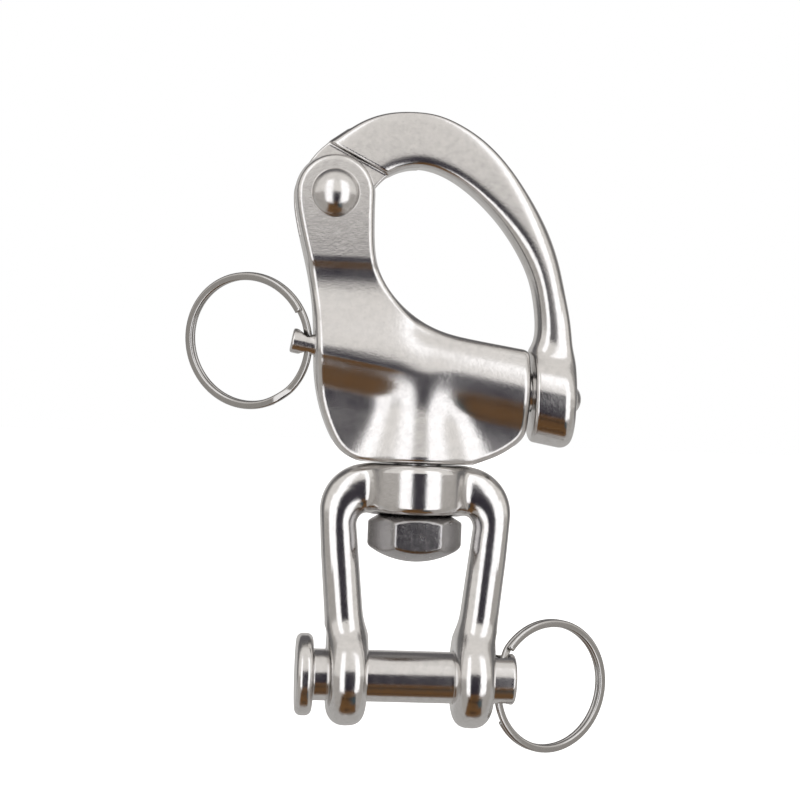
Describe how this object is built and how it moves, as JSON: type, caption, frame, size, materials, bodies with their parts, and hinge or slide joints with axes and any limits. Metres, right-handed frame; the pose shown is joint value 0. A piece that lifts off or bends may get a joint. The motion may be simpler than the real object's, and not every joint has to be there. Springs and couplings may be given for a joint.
{
  "type": "snap shackle",
  "caption": "Swivel snap shackle: hinged bail locked by a sprung plunger with a pull ring, turning on a fork with a clevis pin and split ring.",
  "frame": {"origin": "middle of the clevis pin, halfway between the fork's two eyes", "axes": "+Z along the swivel axis from the fork to the bail, +X along the clevis pin towards its split ring, -Y is the front"},
  "size_m": [0.0929, 0.0236, 0.1335],
  "materials": {
    "cast_steel": "polished cast stainless steel",
    "turned_steel": "turned and polished stainless steel",
    "wire_steel": "bright drawn stainless wire"
  },
  "bodies": {
    "fork": {"swivel_jaw": "cast_steel"},
    "body": {"shackle_body": "cast_steel", "hinge_rivet": "turned_steel", "swivel_bolt": "turned_steel", "plunger_spring": "wire_steel"},
    "bail": {"bail": "cast_steel"},
    "plunger": {"plunger": "turned_steel"},
    "pull_ring": {"pull_ring": "wire_steel"},
    "clevis_pin": {"clevis_pin": "turned_steel"},
    "clevis_ring": {"clevis_ring": "wire_steel"}
  },
  "joints": [
    {"name": "swivel", "type": "hinge", "parent": "fork", "child": "body", "pos_m": [0, 0, 0.0392], "axis": [0, 0, 1], "continuous": true},
    {"name": "bail_hinge", "type": "hinge", "parent": "body", "child": "bail", "pos_m": [-0.0194, 0, 0.0994], "axis": [0, -1, 0], "range_deg": [0, 125]},
    {"name": "plunger_pull", "type": "slide", "parent": "body", "child": "plunger", "axis": [-0.9848, 0, 0.1736], "range_m": [0, 0.0113], "stiffness_N_per_m": 1600, "springref_m": -0.004, "deforming": ["plunger_spring"]},
    {"name": "pull_ring_swing", "type": "hinge", "parent": "plunger", "child": "pull_ring", "pos_m": [-0.02373, 0, 0.06848], "axis": [0, -0.1392, 0.9903], "range_deg": [-54, 105]},
    {"name": "clevis_pin_play", "type": "slide", "parent": "fork", "child": "clevis_pin", "axis": [1, 0, 0], "range_m": [0, 0.0023]},
    {"name": "clevis_ring_swing", "type": "hinge", "parent": "clevis_pin", "child": "clevis_ring", "pos_m": [0.0193, 0, 0], "axis": [0, 0, 1], "range_deg": [-105, 55]}
  ]
}
